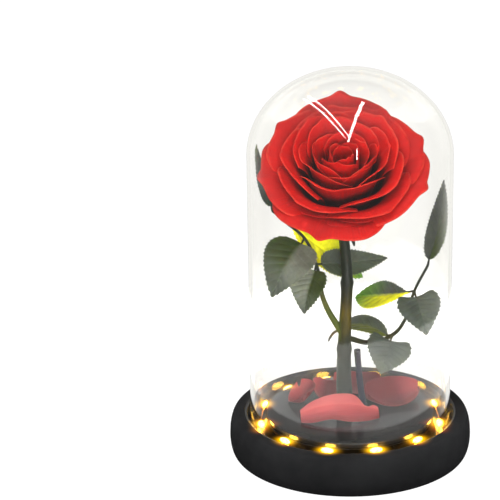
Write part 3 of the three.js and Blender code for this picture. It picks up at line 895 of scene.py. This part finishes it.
# Base, display disc, battery lid and dome
def make_base():
    gap = 0.3
    soft = 0.4
    disc_seat = DISC_TOP - DISC_THICKNESS - gap
    lid_seat = LID_DEPTH + LID_THICKNESS + gap
    inner = GROOVE_INNER_RADIUS
    outer = RIM_INNER_RADIUS
    rounding = RIM_ROUNDING
    profile = [
        (0, lid_seat),
        (LID_RADIUS + gap, lid_seat),
        (LID_RADIUS + gap, 0.3),
        (LID_RADIUS + 2 * gap, 0),
        *arc(BASE_RADIUS - 2.9, BASE_WIDEST_AT, 2.9, BASE_WIDEST_AT, -90, 0, 14),
        *arc(BASE_RADIUS - 3.8, BASE_WIDEST_AT, 3.8, 12.9, 20, 84, 14),
        *arc(outer + rounding, BASE_HEIGHT - rounding, rounding, rounding, 88, 180, 10),
        (outer, BASE_HEIGHT - 2.4),
        (outer, GROOVE_FLOOR + soft),
        (outer - soft, GROOVE_FLOOR),
        (inner + soft, GROOVE_FLOOR),
        (inner, GROOVE_FLOOR + soft),
        (inner, disc_seat - 0.2),
        (inner - 0.2, disc_seat),
        (0, disc_seat),
    ]
    base = lathe("round_base", profile, 160, BASE_LACQUER)
    base.data.materials.append(GROOVE_GLOSS)
    for face in base.data.polygons:
        radius = hypot(face.center.x, face.center.y) / MM
        if inner - 0.1 < radius < outer + rounding and face.center.z / MM > GROOVE_FLOOR - 0.1:
            face.material_index = 1
    return settle(base, "black_lacquered_wood", "base")


def make_lid():
    """The battery lid, with a soft edge and a shallow ring round its rim."""
    low = LID_DEPTH
    top = LID_DEPTH + LID_THICKNESS
    edge = [(0.3, top), (0, top - 0.3), (0, low + 0.3), (0.3, low)]
    edge += [(2.6, low), (3, low + 0.4), (5, low + 0.4), (5.4, low)]
    profile = [(0, top), *[(LID_RADIUS - inset, height) for inset, height in edge], (0, low)]
    lid = lathe("round_battery_lid", profile, 96, LID_PLASTIC)
    settle(lid, "black_plastic", "battery_lid")


def make_disc():
    """The display disc, with rounded edges and a hole for the stem's foot."""
    segments = 144
    hole_radius = 5.5
    soft = 0.5
    under = DISC_TOP - DISC_THICKNESS
    inside_edge = DISC_RADIUS - soft
    outer = [(inside_edge, under), (DISC_RADIUS, under + soft)]
    outer += arc(inside_edge, DISC_TOP - soft, soft, soft, 0, 90, 4)
    rings = [ring(r, z, segments) for r, z in outer]
    for share in (0.25, 0.5, 0.75):
        radius = lerp(inside_edge, hole_radius, share)
        rings.append(ring(radius, DISC_TOP, segments, FOOT_X * share))
    rings += [ring(hole_radius, z, segments, FOOT_X) for z in (DISC_TOP, under)]
    disc = skin("gloss_display_disc", rings, DISC_GLOSS)
    settle(disc, "gloss_black_disc", "display_disc")


def make_dome():
    inner = DOME_RADIUS - DOME_WALL
    half_wall = DOME_WALL / 2
    low = DOME_FOOT + half_wall
    profile = [
        (0, DOME_SHOULDER + DOME_CROWN - DOME_WALL),
        *arc(0, DOME_SHOULDER, inner, DOME_CROWN - DOME_WALL, 90, 0, 40)[1:],
        *[(inner, lerp(DOME_SHOULDER, low, n / 12)) for n in range(1, 13)],
        *arc(DOME_RADIUS - half_wall, low, half_wall, half_wall, 180, 360, 8)[1:-1],
        *[(DOME_RADIUS, lerp(low, DOME_SHOULDER, n / 12)) for n in range(12)],
        *arc(0, DOME_SHOULDER, DOME_RADIUS, DOME_CROWN, 0, 90, 40)[:-1],
        (0, DOME_SHOULDER + DOME_CROWN),
    ]
    dome = lathe("clear_glass_dome", profile, 192, GLASS, 60)
    return settle(dome, "clear_glass", "glass_dome")


# Light string
def light_tree():
    """Resin drops at even steps round the wire's ring."""
    numbers = "ring_radius height first_angle length width"
    tree, given = new_tree("Light drops", numbers, count="Int")
    circle = geo("CurvePrimitiveCircle", Resolution=given.count, Radius=given.ring_radius)
    turn = vector_of(0, 0, given.first_angle)
    rise = vector_of(0, 0, given.height)
    turned = geo("Transform", Geometry=circle, Rotation=turn, Translation=rise)
    points = wire("GeometryNodeCurveToPoints", {"mode": "EVALUATED"}, Curve=turned).outputs
    ball = geo("MeshUVSphere", tree=tree, Segments=20, Rings=14, Radius=0.5)
    inputs = {name: Field(points[name]) for name in ("Points", "Rotation")}
    size = vector_of(given.width, given.width, given.length)
    drops = geo("InstanceOnPoints", Instance=ball, Scale=size, **inputs)
    return finish_tree(drops, given.Material)


def string_tree():
    """One fine wire that winds along the ring in the groove, rising to each drop."""
    numbers = "ring_radius height rise rises first_rise wire_radius twist_radius twists phase"
    tree, given = new_tree("Twisted wire", numbers, steps="Int")
    circle = geo("CurvePrimitiveCircle", Resolution=given.steps, Radius=1)
    x, y, _ = parts_of(geo("InputPosition", tree=tree))
    angle = calculate("ARCTAN2", y, x)
    turn = angle * given.twists + given.phase
    sway = 0.25 * sine(angle * 7) + 0.15 * sine(angle * 17)
    radius = given.ring_radius + sway + given.twist_radius * cosine(turn)
    swell = 0.5 + 0.5 * cosine((angle - given.first_rise) * given.rises)
    height = given.height + given.rise * swell**2 + given.twist_radius * sine(turn)
    place = vector_of(radius * cosine(angle), radius * sine(angle), height)
    line = geo("SetPosition", Geometry=circle, Position=place)
    section = geo("CurvePrimitiveCircle", Resolution=7, Radius=given.wire_radius)
    return finish_tree(geo("CurveToMesh", Curve=line, Profile_Curve=section), given.Material)


def make_light_string():
    first = radians(LIGHT_FIRST_DEG - 90)
    values = {"ring_radius": LIGHT_RING_RADIUS, "height": LIGHT_HEIGHT, "first_angle": first}
    values.update(length=LIGHT_LENGTH, width=LIGHT_WIDTH, count=LIGHT_COUNT)
    drops = from_tree("light_drops", light_tree(), Material=LIGHT_DROP, **values)
    settle(drops, "light_drop", *[f"light_{n:02d}" for n in range(1, LIGHT_COUNT + 1)])
    values = {"ring_radius": LIGHT_RING_RADIUS, "height": WIRE_HEIGHT, "first_rise": first}
    values.update(rise=3.4, rises=LIGHT_COUNT, wire_radius=0.2, twist_radius=0.22, twists=60)
    values.update(steps=720, Material=WIRE)
    tree = string_tree()
    strands = [from_tree("strand", tree, phase=phase, **values) for phase in (0, pi)]
    string = join_pieces("twisted_light_wire", strands)
    settle(string, "copper_wire", "light_wire")


# Camera, floor and lamps, in metres
CAMERA_TARGET = Vector((0, 0, 0.1))
CAMERA_DISTANCE = 1.2268
CAMERA_ELEVATION_DEG = 20.63
PICTURE_SIZE = 500
FOCAL_PIXELS = 2153
CENTRE_PIXEL = (350.14, 286.15)
FLOOR_RADIUS = 0.273
FLOOR_INNER_RADIUS = 0.135
FLOOR_SEGMENTS = 96
FLOOR_LIGHT_SPREAD_DEG = 6
DOME_CROWN_CENTRE = (0, 0, 0.2)
WHITE_SEEN = 1.1
# place, aim, width, height, power in watts, what it lights and what throws its shadows
LAMPS = {
    "key": ((-0.3, -0.45, 1.3), (0, 0, 0.13), 0.45, 0.45, 6.8, "past_key", "past_dome"),
    "front_fill": ((0.3, -1.2, 0.35), (0, 0, 0.08), 0.7, 0.5, 9.2, "past_bloom", "past_dome"),
    "bloom_fill": ((0.1, -1.2, 0.1), (0, 0, 0.16), 0.6, 0.4, 10.5, "petals", "past_dome"),
    "bloom_key": ((-0.3, -0.45, 1.3), (0, 0, 0.13), 0.45, 0.45, 2.8, "petals", "past_dome"),
    "floor_light": ((0, 0, 1), (0, 0, 0), 0.7, 0.7, 2.5, "floor", None),
    "leaf_glow": ((-0.3, -0.9, 0.2), (0, 0.02, 0.12), 0.4, 0.4, 10, "yellow_leaflets", "floor"),
}
# start, end, width, how far to one side of that line, and power in watts
TUBE_LAMPS = [
    ((-0.63, 0.71, 1.2), (-0.07, -0.76, 1.2), 0.018, -0.04, 3.2),
    ((-0.63, 0.71, 1.2), (-0.07, -0.76, 1.2), 0.018, 0.04, 3.2),
    ((0.17, 0.22, 1.2), (-0.05, -0.96, 1.2), 0.045, 0, 6),
    ((0.15, -0.97, 0.96), (0.155, -1.155, 0.65), 0.025, 0, 1.2),
]


def make_camera():
    data = bpy.data.cameras.new("camera")
    data.sensor_width = 36
    data.lens = FOCAL_PIXELS / PICTURE_SIZE * data.sensor_width
    data.shift_x = -(CENTRE_PIXEL[0] - PICTURE_SIZE / 2) / PICTURE_SIZE
    data.shift_y = (CENTRE_PIXEL[1] - PICTURE_SIZE / 2) / PICTURE_SIZE
    data.clip_start = 0.05
    data.clip_end = 50
    camera = add("camera", data)
    rise = radians(CAMERA_ELEVATION_DEG)
    back = Vector((0, -cos(rise), sin(rise)))
    camera.location = CAMERA_TARGET + back * CAMERA_DISTANCE
    camera.rotation_euler = (-back).to_track_quat("-Z", "Y").to_euler()
    bpy.context.scene.camera = camera


def make_floor():
    """A round white sheet, left open under and near the base so that it doesn't veil the lights."""
    points = [p for r in (FLOOR_INNER_RADIUS, FLOOR_RADIUS) for p in ring(r, 0, FLOOR_SEGMENTS)]
    pairs = [(n, (n + 1) % FLOOR_SEGMENTS) for n in range(FLOOR_SEGMENTS)]
    faces = [(n, FLOOR_SEGMENTS + n, FLOOR_SEGMENTS + m, m) for n, m in pairs]
    mesh = bpy.data.meshes.new("floor")
    mesh.from_pydata(points, [], faces)
    material, tree = new_material("floor_white", Roughness=0.6, Specular_IOR_Level=0.2)
    colour = mixed(cloud_in(tree, 3, 2), (0.9, 0.9, 0.9), (0.93, 0.93, 0.93))
    mesh.materials.append(dress(material, Base_Color=colour))
    floor = add("floor", mesh)
    return floor


def make_world():
    """White where it is seen straight on or through the glass. What it lights and what it is
    reflected in get a dimmer one, with a bright backdrop low down behind the object."""
    world = bpy.data.worlds.new("studio")
    world.use_nodes = True
    tree = world.node_tree
    _, y, z = parts_of(place_in(tree, "Generated"))
    backdrop = ramp(y, 0.35, 0.75) * ramp(z, 0.5, 0.25)
    overhead = ramp(z, 0.6, 0.95)
    dim = 0.25 + backdrop * 0.65 + overhead * 0.25
    path = wire("ShaderNodeLightPath", tree=tree).outputs
    names = ("Is Camera Ray", "Is Transmission Ray", "Diffuse Depth", "Glossy Depth")
    seen, passed, diffuse, glossy = (Field(path[name]) for name in names)
    straight = most(seen, passed * (1 - least(1, diffuse + glossy)))
    strength = lerp(dim, WHITE_SEEN, straight)
    fill(tree.nodes["Background"], {"Strength": strength, "Color": (1, 1, 1)})
    bpy.context.scene.world = world


def light_set(name, objects, state):
    """A collection that says which objects a lamp reaches, or which it passes by."""
    group = bpy.data.collections.new(name)
    for each in objects:
        group.objects.link(each)
    for entry in group.collection_objects:
        entry.light_linking.link_state = state
    return group


def area_light(name, place, aim, width, height, power):
    data = bpy.data.lights.new(name, "AREA")
    data.shape = "RECTANGLE"
    data.size = width
    data.size_y = height
    data.energy = power
    light = add(name, data)
    light.location = place
    light.rotation_euler = (Vector(aim) - Vector(place)).to_track_quat("-Z", "Y").to_euler()
    return light


def tube_light(name, start, end, width, aside, power):
    """A lamp from start to end, which faces the dome."""
    start, end = Vector(start), Vector(end)
    length = (end - start).length
    light = area_light(name, (start + end) / 2, DOME_CROWN_CENTRE, length, width, power)
    along = (end - start).normalized()
    facing = (Vector(DOME_CROWN_CENTRE) - light.location).normalized()
    across = along.cross(facing).normalized()
    away = along.cross(across)
    light.location += aside * across
    light.rotation_euler = Matrix((along, across, away)).transposed().to_euler()
    return light


def make_lights(dome, floor, base, petals, yellow_leaflets):
    """Soft lamps on the rose, which pass by the glass, and tube lamps that are seen only in it."""
    members = {
        "past_key": ([dome, floor, *petals], "EXCLUDE"),
        "past_bloom": ([dome, floor, base, *petals], "EXCLUDE"),
        "past_dome": ([dome], "EXCLUDE"),
        "petals": (petals, "INCLUDE"),
        "floor": ([floor], "INCLUDE"),
        "yellow_leaflets": (yellow_leaflets, "INCLUDE"),
        "dome": ([dome], "INCLUDE"),
    }
    sets = {name: light_set(name, *rule) for name, rule in members.items()}
    for name, (*shape, lit, shading) in LAMPS.items():
        light = area_light(name, *shape)
        light.light_linking.receiver_collection = sets[lit]
        light.light_linking.blocker_collection = sets.get(shading)
    bpy.data.lights["floor_light"].spread = radians(FLOOR_LIGHT_SPREAD_DEG)
    for number, shape in enumerate(TUBE_LAMPS, 1):
        tube = tube_light(f"tube_lamp_{number}", *shape)
        tube.light_linking.receiver_collection = sets["dome"]


# Render
GLOW_THRESHOLD = (2, 2, 2)
GLOW_BLUR_PIXELS = (12, 4)
GLOW_SHARE = 0.42


def blend(kind, factor, *pictures):
    node = wire("CompositorNodeMixRGB", {"blend_type": kind}, pictures[0].tree)
    for value, socket in zip((factor, *pictures), node.inputs):
        plug(value, socket)
    return Field(node.outputs[0])


def set_up_render():
    """The render's settings, and a glow round the brightest places."""
    scene = bpy.context.scene
    scene.view_settings.view_transform = "Standard"
    scene.cycles.use_denoising = True
    scene.cycles.max_bounces = 20
    scene.cycles.transmission_bounces = 16
    scene.cycles.glossy_bounces = 8
    scene.cycles.diffuse_bounces = 6
    scene.cycles.sample_clamp_indirect = 8
    scene.use_nodes = True
    tree = scene.node_tree
    tree.nodes.clear()
    picture = Field(wire("CompositorNodeRLayers", tree=tree).outputs["Image"])
    bright = blend("SUBTRACT", 1, picture, GLOW_THRESHOLD)
    clipped = blend("LIGHTEN", 1, bright, (0, 0, 0))
    gauss = {"filter_type": "GAUSS"}
    blur = made("CompositorNode", "Blur", gauss, Image=clipped, Size=GLOW_BLUR_PIXELS)
    wire("CompositorNodeComposite", Image=blend("ADD", GLOW_SHARE, picture, blur))


make_camera()
make_world()
set_up_render()
make_disc()
make_lid()
dome = make_dome()
base = make_base()
make_light_string()
stalks = stalk_tree()
make_stems(stalks)
make_leaf_stalk(stalks, "left", LEFT_STALK, LEFT_LEAFLETS, (-4.4, 0.8, 70.5), 2.1)
make_leaf_stalk(stalks, "right", RIGHT_STALK, RIGHT_LEAFLETS, (-0.8, 0.2, 68.2), 1.65)
make_calyx()
petals = make_petals()
leaflets = leaflet_tree(28, 132)
left = make_leaflets(leaflets, "left", LEFT_STALK, LEFT_LEAFLETS, LEFT_TINTS)
right = make_leaflets(leaflets, "right", RIGHT_STALK, RIGHT_LEAFLETS, RIGHT_TINTS)
make_fallen_petals()
make_lights(dome, make_floor(), base, petals, [left[3], right[3]])
